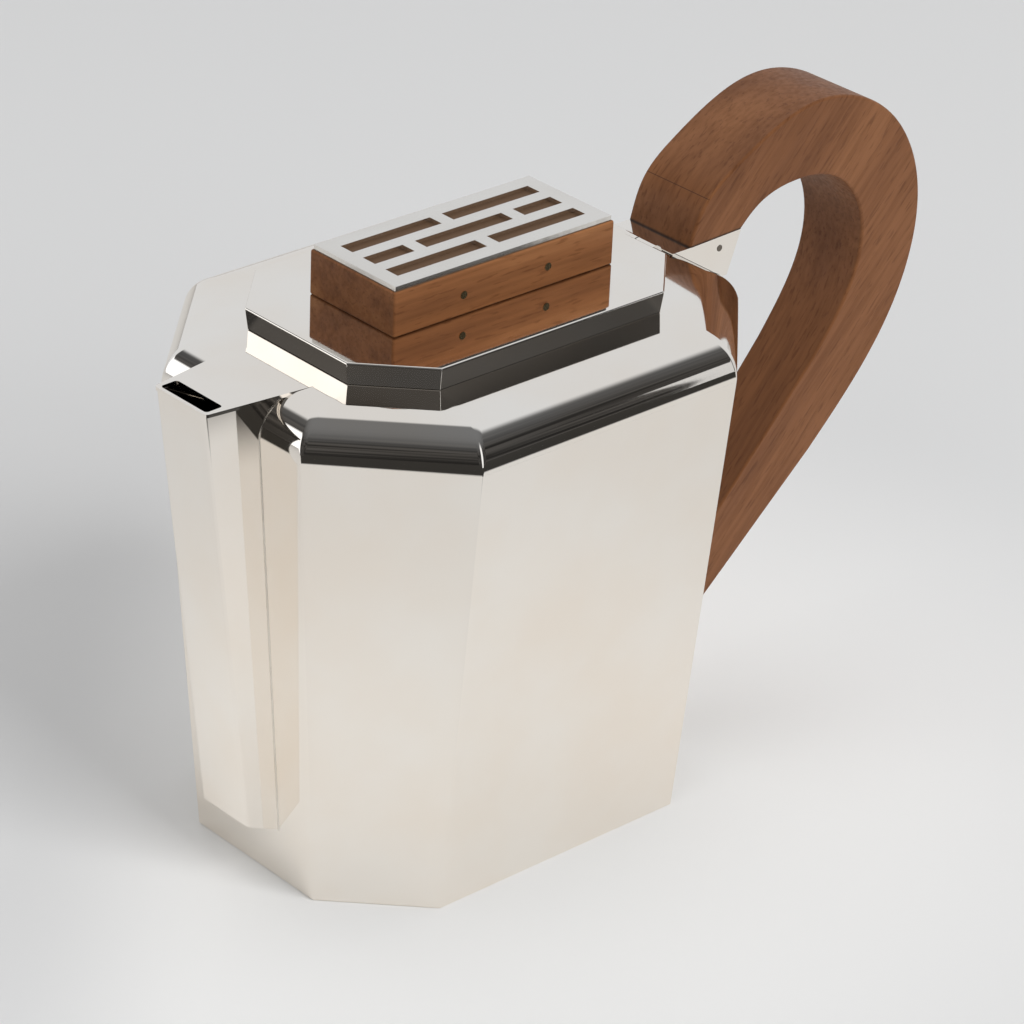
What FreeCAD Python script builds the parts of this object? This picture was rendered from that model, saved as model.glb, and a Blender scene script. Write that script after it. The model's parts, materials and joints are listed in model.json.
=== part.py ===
import FreeCAD, Part
import math
import os

# Faceted coffee pot in polished sheet metal, with a wooden handle and a wooden lid knob.
# Millimetres. The origin is the middle of the base on the table, +Z is up,
# the spout points along -X and the handle along +X.

# Body: an elongated octagon that flares from the base to the brow, where the wall meets the deck
base_length = 109.2
base_width = 80.0
base_corner = 19.8
brow_length = 127.4
brow_width = 101.5
brow_corner = 27.2
brow_height = 120.9
shoulder_radius = 9.5
rim_height = 121.9
wall_sheet = 1.2
base_sheet = 1.2

# Opening under the lid
mouth_margin = 7.0
collar_sheet = 1.0
collar_depth = 8.0

# Strainer holes in the wall behind the spout
strainer_hole = 4.0
strainer_columns = 3
strainer_rows = 7
strainer_pitch_across = 5.6
strainer_pitch_up = 10.0
strainer_lowest = 26.0

# Spout: folded channel with a level top plate
spout_foot_height = 16.4
spout_foot_drop = 3.2
spout_foot_reach = 7.6
spout_tip_reach = 12.4
spout_foot_width = 15.8
spout_foot_root_width = 22.0
spout_tip_width = 16.2
spout_root_width = 25.4
spout_bend_radius = 0.9
spout_sheet = 0.8
spout_drop = 0.9
slot_length = 4.4
slot_corner_radius = 0.8

# Lid: eight-sided slab whose edge leans out from the rim to its top outline
lid_length = 91.4
lid_width = 61.8
lid_corner = 14.0
lid_height = 5.1
lid_sheet = 1.2
lid_bevel = 0.4
lid_overhang = 0.6
lid_gap = 0.2
underplate_sheet = 0.8
flange_sheet = 1.0
flange_depth = 5.0
flange_gap = 0.5

# Lid hinge
barrel_radius = 2.0
barrel_gap = 0.4
hinge_pin_radius = 0.8
hinge_running_gap = 0.04
hinge_fixed_gap = 0.01
lid_knuckle_length = 10.0
deck_knuckle_length = 5.6
knuckle_gap = 0.3
knuckle_leaf = 1.6
knuckle_foot = 2.4

# Knob: wooden block under a pierced plate
knob_length = 62.6
knob_width = 28.0
knob_height = 10.5
knob_setback = 0.8
knob_edge_radius = 0.5
plate_margin = 0.6
plate_sheet = 1.1
plate_frame = 4.0
plate_bar = 3.4
plate_end_slot = 11.0
peg_radius = 0.7
peg_length = 4.0
knob_pin_radius = 0.9
knob_pin_spacing = 24.0
knob_pin_height = 4.8
knob_pin_proud = 0.1
lug_length = 7.0
lug_thickness = 3.0
lug_height = 8.2
wood_gap = 0.1
pin_gap = 0.02

# Handle: a wooden loop of rectangular section, wider at the top than at the foot
handle_top_width = 21.4
handle_foot_width = 14.2
seat_inset = 3.9
seat_lift = 0.8
seat_length = 16.2
seat_rise = 0.5
front_swell_back = 4.0
front_swell_up = 8.9
loop_back = 38.2
loop_down = 11.6
loop_outer_radius = 37.5
outer_loop_angles = (132, 90, 50, 10)
inner_loop_back = 35.6
inner_loop_down = 14.1
loop_inner_radius = 21.5
inner_loop_angles = (-10, 22, 60, 97)
inner_shoulder_back = 21.3
inner_shoulder_up = 4.2
run_outer_foot = 9.0
run_inner_foot = 26.5
outer_waist_back = 71.1
outer_waist_down = 34.0
run_outer_start_back = 46.0
run_outer_start_down = 66.6
run_inner_start_back = 44.0
run_inner_start_down = 42.0

# Sockets that hold the handle
nose_run = 2.3
nose_drop = 1.6
heel_inset = 3.7
heel_drop = 11.1
toe_rise = 4.2
socket_wall = 1.5
upper_tenon_length = 8.0
upper_tenon_depth = 6.6
upper_tenon_set = 4.2
upper_pin_shift = 1.4
lower_socket_length = 10.0
lower_tenon_depth = 6.0
lower_tenon_height = 8.0
tenon_root = 2.0
handle_pin_radius = 0.8

# Values that follow from the sizes above
reach = base_length + brow_length + brow_width
same_height = 1e-6
root_two = math.sqrt(2.0)
seam_height = brow_height - shoulder_radius
rim_length = lid_length - 2 * lid_overhang
rim_width = lid_width - 2 * lid_overhang
lid_bottom = rim_height + lid_gap
lid_top = lid_bottom + lid_height
spout_top = rim_height - spout_drop
channel_top = spout_top - spout_sheet
knob_top = lid_top + knob_height
wall_lean = (brow_length - base_length) / 2 / brow_height
foot_front = -base_length / 2 - wall_lean * spout_foot_height - spout_foot_reach
tip_front = -brow_length / 2 - spout_tip_reach
deck_slope = (rim_height - brow_height) / (brow_length / 2 - rim_length / 2)
hinge_x = lid_length / 2 + barrel_radius + barrel_gap
hinge_deck = rim_height - deck_slope * (hinge_x - rim_length / 2)
hinge_z = hinge_deck + (barrel_radius + barrel_gap) * math.hypot(1, deck_slope)


def vec(x, y, z):
    """Short name for a point or direction."""
    return FreeCAD.Vector(x, y, z)


def slab(low, high):
    """Level slice of space between two heights."""
    return Part.makeBox(2 * reach, 2 * reach, high - low, vec(-reach, -reach, low))


def rounded_wire(points, radii):
    """Closed flat wire through points, with each corner rounded by its own radius."""
    edges = []
    first_start = None
    last_end = None
    for index, corner in enumerate(points):
        back = (points[index - 1] - corner).normalize()
        ahead = (points[(index + 1) % len(points)] - corner).normalize()
        half_angle = back.getAngle(ahead) / 2
        radius = radii[index]
        start = corner + back * (radius / math.tan(half_angle))
        end = corner + ahead * (radius / math.tan(half_angle))
        if last_end is not None:
            edges.append(Part.LineSegment(last_end, start).toShape())
        if radius > 0:
            bisector = (back + ahead).normalize()
            middle = corner + bisector * (radius / math.sin(half_angle) - radius)
            edges.append(Part.Arc(start, middle, end).toShape())
        first_start = first_start or start
        last_end = end
    edges.append(Part.LineSegment(last_end, first_start).toShape())
    return Part.Wire(edges)


def octagon(length, width, corner, inset, height):
    """Corner points of an elongated octagon moved inwards by inset, at one height."""
    x = length / 2 - inset
    y = width / 2 - inset
    cut = corner - inset * (2 - root_two)
    quarter = [(x, y - cut), (x - cut, y)]
    ring = quarter + [(-a, b) for a, b in reversed(quarter)]
    ring += [(-a, -b) for a, b in quarter] + [(a, -b) for a, b in reversed(quarter)]
    return [vec(a, b, height) for a, b in ring]


def octagon_prism(length, width, corner, inset, low, high):
    """Upright block with an octagon outline between two heights."""
    points = octagon(length, width, corner, inset, low)
    return Part.Face(Part.makePolygon(points + points[:1])).extrude(vec(0, 0, high - low))


def lid_octagon(inset, low, high):
    """Upright block with the lid's outline moved inwards by inset."""
    return octagon_prism(lid_length, lid_width, lid_corner, inset, low, high)


def corner_distance(length, width, corner):
    """Distance from the middle of an octagon to one of its corner cuts."""
    return (length / 2 + width / 2 - corner) / root_two


def side_points(base, brow, rim, inset):
    """Half outline of the body across one side, with the wall and deck moved inwards by inset."""
    lean = (brow - base) / brow_height
    slope = (rim_height - brow_height) / (brow - rim)
    foot = base - inset * math.hypot(1, lean)
    ridge = rim_height - inset * math.hypot(1, slope)
    high = (ridge - slope * (foot - rim)) / (1 + slope * lean)
    top = rim_height - inset
    return [(foot, 0), (foot + lean * high, high), (rim + (ridge - top) / slope, top)]


def side_prism(heading, points, radius):
    """Long block with a body outline, running level across one pair of opposite sides."""
    angle = math.radians(heading)
    across = vec(math.cos(angle), math.sin(angle), 0)
    along = vec(-math.sin(angle), math.cos(angle), 0)
    outline = points + [(-d, z) for d, z in reversed(points)]
    corners = [across * d + vec(0, 0, z) - along * reach for d, z in outline]
    wire = rounded_wire(corners, [0, radius, 0, 0, radius, 0])
    return Part.Face(wire).extrude(along * 2 * reach)


def body_solid(inset):
    """The whole body's form, moved inwards by inset, with mitred corners at the shoulder."""
    ends = (base_length / 2, brow_length / 2, rim_length / 2)
    sides = (base_width / 2, brow_width / 2, rim_width / 2)
    rim_corner = lid_corner - lid_overhang * (2 - root_two)
    corners = (
        corner_distance(base_length, base_width, base_corner),
        corner_distance(brow_length, brow_width, brow_corner),
        corner_distance(rim_length, rim_width, rim_corner),
    )
    solid = None
    for heading, distances in ((0, ends), (90, sides), (45, corners), (135, corners)):
        prism = side_prism(heading, side_points(*distances, inset), shoulder_radius - inset)
        solid = prism if solid is None else solid.common(prism)
    return solid.removeSplitter()


def rear_wall_x(height):
    """Outer face of the rear wall at a height. The front wall mirrors it."""
    return base_length / 2 + wall_lean * height


def upright_block(wire, half_width):
    """Block across the pot from a wire drawn in its middle plane."""
    face = Part.Face(wire)
    face.translate(vec(0, -half_width, 0))
    return face.extrude(vec(0, 2 * half_width, 0))


def strainer_holes():
    """Grid of round holes through the front wall, inside the spout."""
    holes = []
    for row in range(strainer_rows):
        for column in range(strainer_columns):
            across = (column - (strainer_columns - 1) / 2) * strainer_pitch_across
            height = strainer_lowest + row * strainer_pitch_up
            start = vec(-brow_length / 2, across, height)
            depth = brow_length / 2 - base_length / 4
            holes.append(Part.makeCylinder(strainer_hole / 2, depth, start, vec(1, 0, 0)))
    return Part.makeCompound(holes)


def shell_pieces(outer):
    """Wall, flat bottom, shoulder with deck, and the collar round the opening."""
    inner = body_solid(wall_sheet)
    shell = outer.cut(inner)
    mouth = lid_octagon(mouth_margin, seam_height, lid_top)
    collar_foot = rim_height - collar_depth
    collar = lid_octagon(mouth_margin, collar_foot, rim_height)
    bore = lid_octagon(mouth_margin + collar_sheet, collar_foot, rim_height)
    return {
        "body_wall": shell.common(slab(0, seam_height)).cut(strainer_holes()),
        "base_plate": inner.common(slab(0, base_sheet)),
        "shoulder_deck": shell.common(slab(seam_height, lid_top)).cut(mouth),
        "opening_collar": collar.cut(bore),
    }


def channel_outline(height, front, tip_width, root_width, inset):
    """Plan outline of the spout at one height, open corners at the front rounded by the bend."""
    rear = -rim_length / 2
    tip = tip_width / 2 - inset
    root = root_width / 2 - inset
    points = [
        vec(rear, root, height),
        vec(front + inset, tip, height),
        vec(front + inset, -tip, height),
        vec(rear, -root, height),
    ]
    bend = spout_bend_radius - inset
    return rounded_wire(points, [0, bend, bend, 0])


def channel_solid(inset):
    """Form of the spout from the low end of its foot to its top plate, moved inwards by inset."""
    low = spout_foot_height - spout_foot_drop
    front_lean = (foot_front - tip_front) / (channel_top - spout_foot_height)
    low_front = foot_front + front_lean * spout_foot_drop
    foot = channel_outline(low, low_front, spout_foot_width, spout_foot_root_width, inset)
    tip = channel_outline(channel_top, tip_front, spout_tip_width, spout_root_width, inset)
    return Part.makeLoft([foot, tip], True, True)


def space_below_foot(lift):
    """Space under the sloping foot of the spout, which falls from its front to the wall, raised by lift."""
    low = spout_foot_height - spout_foot_drop
    front = vec(foot_front, 0, spout_foot_height + lift)
    root = vec(-rear_wall_x(low), 0, low + lift)
    run = root - front
    start = front - run
    end = root + run
    corners = [start, end, vec(end.x, 0, -reach), vec(start.x, 0, -reach), start]
    return upright_block(Part.makePolygon(corners), spout_root_width)


def spout_pieces(outer):
    """Folded channel, the plate that closes its foot, and the level plate with the slot mouth."""
    inner = channel_solid(spout_sheet)
    outline = channel_outline(channel_top, tip_front, spout_tip_width, spout_root_width, 0)
    plate = Part.Face(outline).extrude(vec(0, 0, spout_sheet))
    slot_front = tip_front + spout_sheet
    slot_half = spout_tip_width / 2 - spout_sheet
    slot_corners = [
        vec(slot_front, -slot_half, channel_top),
        vec(slot_front + slot_length, -slot_half, channel_top),
        vec(slot_front + slot_length, slot_half, channel_top),
        vec(slot_front, slot_half, channel_top),
    ]
    slot = Part.Face(rounded_wire(slot_corners, [slot_corner_radius] * 4))
    below = space_below_foot(0)
    foot_rise = spout_sheet * math.hypot(1, spout_foot_drop / spout_foot_reach)
    foot = inner.common(space_below_foot(foot_rise)).cut(below)
    return {
        "spout_channel": channel_solid(0).cut(inner).cut(below).cut(outer),
        "spout_foot": foot.cut(outer),
        "spout_top_plate": plate.cut(slot.extrude(vec(0, 0, spout_sheet))).cut(outer),
    }


def level_edges(solid, height):
    """Edges of a solid that lie level at one height."""
    return [e for e in solid.Edges if all(abs(v.Z - height) < same_height for v in e.Vertexes)]


def lid_form():
    """The lid's whole form: it leans out from the rim's outline at its foot to its own outline at the top."""
    rings = []
    for inset, height in ((lid_overhang, lid_bottom), (0, lid_top)):
        points = octagon(lid_length, lid_width, lid_corner, inset, height)
        rings.append(Part.makePolygon(points + points[:1]))
    solid = Part.makeLoft(rings, True, True)
    return solid.makeChamfer(lid_bevel, level_edges(solid, lid_top))


def lid_pieces(form):
    """Hollow slab, the plate that closes it, and the ring that drops into the collar."""
    inside = lid_overhang + lid_sheet
    hollow = lid_octagon(inside, lid_bottom, lid_top - lid_sheet)
    flange_inset = mouth_margin + collar_sheet + flange_gap
    flange_foot = lid_bottom - flange_depth
    flange = lid_octagon(flange_inset, flange_foot, lid_bottom)
    flange_bore = lid_octagon(flange_inset + flange_sheet, flange_foot, lid_bottom)
    return {
        "lid_shell": form.cut(hollow),
        "lid_underplate": lid_octagon(inside, lid_bottom, lid_bottom + underplate_sheet),
        "lid_flange": flange.cut(flange_bore),
    }


def cross_pin(radius, x, z, half_length):
    """Round bar across the pot, along Y, centred on its middle plane."""
    return Part.makeCylinder(radius, 2 * half_length, vec(x, -half_length, z), vec(0, 1, 0))


def centred_box(x_low, x_high, half_width, z_low, z_high):
    """Box centred across the pot."""
    return Part.makeBox(
        x_high - x_low, 2 * half_width, z_high - z_low, vec(x_low, -half_width, z_low)
    )


def hinge_pieces(outer, lid):
    """Two knuckles on the deck, one on the lid's rear edge, and the pin through them."""
    lid_half = lid_knuckle_length / 2
    pin_half = lid_half + knuckle_gap + deck_knuckle_length
    deck_knuckles = []
    for side in (1, -1):
        start = side * (lid_half + knuckle_gap)
        barrel_start = vec(hinge_x, start, hinge_z)
        barrel = Part.makeCylinder(barrel_radius, deck_knuckle_length, barrel_start, vec(0, side, 0))
        foot_start = min(start, start + side * deck_knuckle_length)
        corner = vec(hinge_x - knuckle_foot / 2, foot_start, seam_height)
        foot = Part.makeBox(knuckle_foot, deck_knuckle_length, hinge_z - seam_height, corner)
        bore = cross_pin(hinge_pin_radius + hinge_fixed_gap, hinge_x, hinge_z, pin_half)
        deck_knuckles.append(barrel.fuse(foot).cut(bore).cut(outer).removeSplitter())
    barrel = cross_pin(barrel_radius, hinge_x, hinge_z, lid_half)
    leaf_low = hinge_z - knuckle_leaf / 2
    leaf_start = rim_length / 2
    leaf = centred_box(leaf_start, hinge_x, lid_half, leaf_low, leaf_low + knuckle_leaf).cut(lid)
    bore = cross_pin(hinge_pin_radius + hinge_running_gap, hinge_x, hinge_z, lid_half)
    return {
        "hinge_deck_knuckles": Part.makeCompound(deck_knuckles),
        "hinge_lid_knuckle": barrel.fuse(leaf).cut(bore).removeSplitter(),
        "hinge_pin": cross_pin(hinge_pin_radius, hinge_x, hinge_z, pin_half),
    }


def plate_windows(length, width):
    """Staggered rows of lengthwise slots: two, then short-long-short, then two."""
    row_height = (width - 2 * plate_frame - 2 * plate_bar) / 3
    open_length = length - 2 * plate_frame
    pair = [(open_length - plate_bar) / 2] * 2
    middle = open_length - 2 * plate_bar - 2 * plate_end_slot
    windows = []
    for row, slots in enumerate((pair, [plate_end_slot, middle, plate_end_slot], pair)):
        x = knob_setback - open_length / 2
        y = -width / 2 + plate_frame + row * (row_height + plate_bar)
        for slot in slots:
            windows.append(Part.makeBox(slot, row_height, plate_sheet, vec(x, y, knob_top)))
            x += slot + plate_bar
    return Part.makeCompound(windows)


def knob_pieces():
    """Wooden block pinned to two lugs on the lid, with the pierced plate pegged on top."""
    half = knob_length / 2
    block = centred_box(knob_setback - half, knob_setback + half, knob_width / 2, lid_top, knob_top)
    eased = [e for e in block.Edges if max(v.Z for v in e.Vertexes) > lid_top + knob_edge_radius]
    block = block.makeFillet(knob_edge_radius, eased)
    pin_z = lid_top + knob_pin_height
    pin_half = knob_width / 2 + knob_pin_proud
    lugs = []
    pins = []
    for x in (knob_setback - knob_pin_spacing / 2, knob_setback + knob_pin_spacing / 2):
        pin_hole = cross_pin(knob_pin_radius + pin_gap, x, pin_z, pin_half)
        lug_end = lug_length / 2
        lug = centred_box(x - lug_end, x + lug_end, lug_thickness / 2, lid_top, lid_top + lug_height)
        mortise = centred_box(
            x - lug_end - wood_gap,
            x + lug_end + wood_gap,
            lug_thickness / 2 + wood_gap,
            lid_top,
            lid_top + lug_height + wood_gap,
        )
        block = block.cut(mortise).cut(pin_hole)
        lugs.append(lug.cut(pin_hole))
        pins.append(cross_pin(knob_pin_radius, x, pin_z, pin_half))
    plate_length = knob_length - 2 * plate_margin
    plate_width = knob_width - 2 * plate_margin
    plate_low = knob_setback - plate_length / 2
    plate = centred_box(
        plate_low, plate_low + plate_length, plate_width / 2, knob_top, knob_top + plate_sheet
    )
    pegs = []
    for x_side in (-1, 1):
        for y_side in (-1, 1):
            x = knob_setback + x_side * (plate_length - plate_frame) / 2
            y = y_side * (plate_width - plate_frame) / 2
            foot = vec(x, y, knob_top - peg_length)
            block = block.cut(Part.makeCylinder(peg_radius + pin_gap, peg_length, foot))
            pegs.append(Part.makeCylinder(peg_radius, peg_length, foot))
    return {
        "knob_block": block,
        "knob_lugs": Part.makeCompound(lugs),
        "knob_pins": Part.makeCompound(pins),
        "knob_plate": plate.cut(plate_windows(plate_length, plate_width)),
        "knob_plate_pegs": Part.makeCompound(pegs),
    }


def on_run(foot_height, start):
    """Point where one edge of the handle's straight run reaches the lower socket's mouth."""
    foot = vec(rear_wall_x(foot_height), 0, foot_height)
    step = start - foot
    share = lower_socket_length / (step.x - wall_lean * step.z)
    return foot + step * share


def handle_width_at(height):
    """Width of the handle at a height: it narrows evenly from the loop to the foot."""
    top = rim_height + seat_lift - loop_down + loop_outer_radius
    share = (height - run_outer_foot) / (top - run_outer_foot)
    return handle_foot_width + (handle_top_width - handle_foot_width) * share


def handle_taper():
    """Wedge of space between the handle's two side faces."""
    low = -brow_height
    high = 2 * brow_height
    half_low = handle_width_at(low) / 2
    half_high = handle_width_at(high) / 2
    points = [
        vec(0, -half_low, low),
        vec(0, half_low, low),
        vec(0, half_high, high),
        vec(0, -half_high, high),
    ]
    return Part.Face(Part.makePolygon(points + points[:1])).extrude(vec(reach, 0, 0))


def curve_through(points):
    """Smooth edge through a few points, straight at its two ends."""
    curve = Part.BSplineCurve()
    curve.interpolate(Points=points)
    return curve.toShape()


def loop_points(seat, back, down, radius, angles):
    """Points on a round of the handle's loop, given by angles above level."""
    centre = seat + vec(back, 0, -down)
    turns = [math.radians(angle) for angle in angles]
    return [centre + vec(math.cos(turn), 0, math.sin(turn)) * radius for turn in turns]


def run_starts(seat):
    """Upper ends of the straight run's outer and inner edges."""
    outer_start = seat + vec(run_outer_start_back, 0, -run_outer_start_down)
    inner_start = seat + vec(run_inner_start_back, 0, -run_inner_start_down)
    return outer_start, inner_start


def run_mouths(seat):
    """Points of the straight run's outer and inner edges at the lower socket's mouth."""
    outer_start, inner_start = run_starts(seat)
    return on_run(run_outer_foot, outer_start), on_run(run_inner_foot, inner_start)


def handle_wire(seat, seat_rear):
    """Side outline of the handle: out over the loop, down the run, and back up inside."""
    outer_start, inner_start = run_starts(seat)
    outer_foot, inner_foot = run_mouths(seat)
    swell = seat + vec(front_swell_back, 0, front_swell_up)
    outer = [seat, swell]
    outer += loop_points(seat, loop_back, loop_down, loop_outer_radius, outer_loop_angles)
    waist = seat + vec(outer_waist_back, 0, -outer_waist_down)
    outer += [waist, outer_start]
    inner = [inner_start]
    inner += loop_points(seat, inner_loop_back, inner_loop_down, loop_inner_radius, inner_loop_angles)
    inner += [seat + vec(inner_shoulder_back, 0, inner_shoulder_up), seat_rear]
    return Part.Wire([
        curve_through(outer),
        Part.LineSegment(outer_start, outer_foot).toShape(),
        Part.LineSegment(outer_foot, inner_foot).toShape(),
        Part.LineSegment(inner_foot, inner_start).toShape(),
        curve_through(inner),
        Part.LineSegment(seat_rear, seat).toShape(),
    ])


def pin_and_hole(x, z):
    """Pin as long as the handle is wide at its height, and the hole that it passes through."""
    pin = cross_pin(handle_pin_radius, x, z, handle_width_at(z) / 2)
    hole = cross_pin(handle_pin_radius + pin_gap, x, z, handle_top_width)
    return pin, hole


def upper_joint(seat, seat_rear):
    """Upper tenon, socket block, the pocket in it, the pin and the pin's hole."""
    front = seat.x + upper_tenon_set
    rear = front + upper_tenon_length
    foot = seat.z - upper_tenon_depth
    half = handle_width_at(foot) / 2 - socket_wall
    tenon = centred_box(front, rear, half, foot, seat.z + tenon_root)
    pocket = centred_box(
        front - wood_gap,
        rear + wood_gap,
        half + wood_gap,
        foot - wood_gap,
        seat_rear.z + tenon_root,
    )
    heel = seat_rear - vec(heel_inset, 0, heel_drop)
    nose = seat - vec(nose_run, 0, nose_drop)
    toe = vec(nose.x, 0, heel.z + toe_rise)
    outline = Part.makePolygon([seat, seat_rear, heel, toe, nose, seat])
    block = upright_block(outline, handle_top_width)
    pin_x = (front + rear) / 2 + upper_pin_shift
    pin, hole = pin_and_hole(pin_x, seat.z - upper_tenon_depth / 2)
    return tenon, block, pocket, pin, hole


def lower_joint(seat):
    """Lower tenon, socket block, the pocket in it, the pin and the pin's hole."""
    outer_mouth, inner_mouth = run_mouths(seat)
    outer_root = vec(rear_wall_x(run_outer_foot), 0, run_outer_foot)
    inner_root = vec(rear_wall_x(run_inner_foot), 0, run_inner_foot)
    mouth = (outer_mouth + inner_mouth) * 0.5
    root = (outer_root + inner_root) * 0.5
    run = (mouth - root).normalize()
    middle_x = mouth.x - lower_tenon_depth / 2
    middle_z = mouth.z - run.z * lower_tenon_depth / 2 / run.x
    low = middle_z - lower_tenon_height / 2
    high = middle_z + lower_tenon_height / 2
    half = handle_width_at(low) / 2 - socket_wall
    end = mouth.x - lower_tenon_depth
    tenon = centred_box(end, mouth.x + tenon_root, half, low, high)
    pocket = centred_box(
        end - wood_gap,
        mouth.x + tenon_root,
        half + wood_gap,
        low - wood_gap,
        high + wood_gap,
    )
    outline = Part.makePolygon([outer_root, outer_mouth, inner_mouth, inner_root, outer_root])
    block = upright_block(outline, handle_top_width)
    pin, hole = pin_and_hole(middle_x, middle_z)
    return tenon, block, pocket, pin, hole


def handle_pieces(outer):
    """Handle with its two tenons, the two sockets on the pot, and the pins through them."""
    seat = vec(brow_length / 2 - seat_inset, 0, rim_height + seat_lift)
    seat_rear = seat + vec(seat_length, 0, seat_rise)
    taper = handle_taper()
    upper_tenon, upper_block, upper_pocket, upper_pin, upper_hole = upper_joint(seat, seat_rear)
    lower_tenon, lower_block, lower_pocket, lower_pin, lower_hole = lower_joint(seat)
    blade = upright_block(handle_wire(seat, seat_rear), handle_top_width).common(taper)
    handle = blade.fuse([upper_tenon, lower_tenon]).removeSplitter()
    upper_socket = upper_block.common(taper).cut(outer)
    lower_socket = lower_block.common(taper).cut(outer)
    return {
        "handle": handle.cut(upper_hole).cut(lower_hole),
        "upper_socket": upper_socket.cut(upper_pocket).cut(upper_hole),
        "lower_socket": lower_socket.cut(lower_pocket).cut(lower_hole),
        "upper_handle_pin": upper_pin,
        "lower_handle_pin": lower_pin,
    }


def build():
    """Make every piece and write one file for each."""
    outer = body_solid(0)
    pieces = {}
    pieces.update(shell_pieces(outer))
    pieces.update(spout_pieces(outer))
    lid = lid_form()
    pieces.update(lid_pieces(lid))
    pieces.update(hinge_pieces(outer, lid))
    pieces.update(knob_pieces())
    pieces.update(handle_pieces(outer))
    os.makedirs("parts", exist_ok=True)
    for name, shape in pieces.items():
        shape.exportStep(os.path.join("parts", name + ".step"))


build()
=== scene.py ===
import bpy
import json
import math
import numpy as np
from mathutils import Matrix, Vector


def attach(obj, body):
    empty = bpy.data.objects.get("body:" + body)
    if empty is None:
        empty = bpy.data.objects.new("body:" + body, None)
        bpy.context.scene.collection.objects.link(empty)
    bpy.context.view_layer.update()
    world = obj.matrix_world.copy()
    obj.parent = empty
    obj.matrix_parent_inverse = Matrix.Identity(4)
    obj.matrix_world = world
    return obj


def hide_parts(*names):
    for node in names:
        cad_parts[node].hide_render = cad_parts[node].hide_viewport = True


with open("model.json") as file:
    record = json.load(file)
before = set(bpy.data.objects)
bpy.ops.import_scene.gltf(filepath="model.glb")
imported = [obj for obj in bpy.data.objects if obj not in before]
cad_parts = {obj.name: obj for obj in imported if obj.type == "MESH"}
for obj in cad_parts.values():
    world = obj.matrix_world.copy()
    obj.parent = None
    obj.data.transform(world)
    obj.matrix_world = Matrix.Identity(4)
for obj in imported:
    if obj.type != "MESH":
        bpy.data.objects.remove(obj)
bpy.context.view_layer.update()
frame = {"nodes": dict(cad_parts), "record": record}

# Silver coffee pot with a wooden handle and knob. Metres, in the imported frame: origin under the middle of
# the base, +Z up, spout along -X, handle along +X. The pot's sizes are millimetres times MM.
MM = 0.001
UP = (0.0, 0.0, 1.0)
BACK = (1.0, 0.0, 0.0)

# Body sizes. An outline is its length, its width and how much of each side a cut corner takes
BROW_HEIGHT = 120.9 * MM
RIM_HEIGHT = 121.9 * MM
SEAM_HEIGHT = 111.4 * MM
SHOULDER_RADIUS = 9.5 * MM
WALL_SHEET = 1.2 * MM
BASE_OUTLINE = (109.2 * MM, 80.0 * MM, 19.8 * MM)
BROW_OUTLINE = (127.4 * MM, 101.5 * MM, 27.2 * MM)
LID_OUTLINE = (91.4 * MM, 61.8 * MM, 14.0 * MM)
LID_OVERHANG = 0.6 * MM
MOUTH_MARGIN = 7.0 * MM
EDGE_ROUND = 0.35 * MM
SHOULDER_EDGE = 2.4 * MM
SHOULDER_EDGE_RISE = 4.0 * MM
CREASE_STEPS = 4
SHOULDER_CREASE_STEPS = 8
SHOULDER_ROWS = 120
SHOULDER_INNER_ROWS = 60

# Lean of the end panels, and the rim's distance from the axis along X
END_LEAN = (BROW_OUTLINE[0] - BASE_OUTLINE[0]) / 2 / BROW_HEIGHT
RIM_END = LID_OUTLINE[0] / 2 - LID_OVERHANG

# Strainer holes in the front panel, behind the spout, each in a cell of the wall's grid
STRAINER_HOLE = 4.0 * MM
STRAINER_COLUMNS = 3
STRAINER_ROWS = 7
STRAINER_ACROSS = 5.6 * MM
STRAINER_UP = 10.0 * MM
STRAINER_LOWEST = 26.0 * MM
CELL_STEPS = 8
ROWS_BELOW_STRAINER = 2

# Spout sizes. Widths are at the front edge, and at the rim where its sides would end
SPOUT_FOOT_HEIGHT = 16.4 * MM
SPOUT_FOOT_DROP = 3.2 * MM
SPOUT_LOW = SPOUT_FOOT_HEIGHT - SPOUT_FOOT_DROP
SPOUT_FOOT_REACH = 7.6 * MM
SPOUT_TIP_REACH = 12.4 * MM
SPOUT_TIP = BROW_OUTLINE[0] / 2 + SPOUT_TIP_REACH
SPOUT_FOOT_WIDTHS = (15.8 * MM, 22.0 * MM)
SPOUT_TIP_WIDTHS = (16.2 * MM, 25.4 * MM)
SPOUT_TOP = 120.2 * MM
SPOUT_PLATE_RISE = 0.74 * MM
SPOUT_PLATE_LIP = 0.5 * MM
SLOT_LENGTH = 4.4 * MM
SLOT_CORNER = 0.8 * MM
SPOUT_SHEET = 0.8 * MM
SPOUT_BEND = 0.9 * MM
SPOUT_SINK = 0.5 * MM
SPOUT_ROWS = 60
SPOUT_BEND_STEPS = 7
SEAM_BEAD = 0.22 * MM
SEAM_SIDES = 8

# Lid and knob sizes
LID_BOTTOM = 121.95 * MM
LID_TOP = 127.2 * MM
LID_SHEET = 1.2 * MM
LID_EDGE = 0.45 * MM
LID_EDGE_STEPS = 6
LID_FOOT_EDGE = 0.15 * MM
KNOB_MIDDLE = 0.8 * MM
KNOB_LENGTH = 62.6 * MM
KNOB_WIDTH = 28.0 * MM
KNOB_HEIGHT = 10.5 * MM
KNOB_EDGE = 0.6 * MM
KNOB_EDGE_DEGREES = 84
KNOB_ROWS = 12
KNOB_CORNER_STEPS = 6

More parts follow.
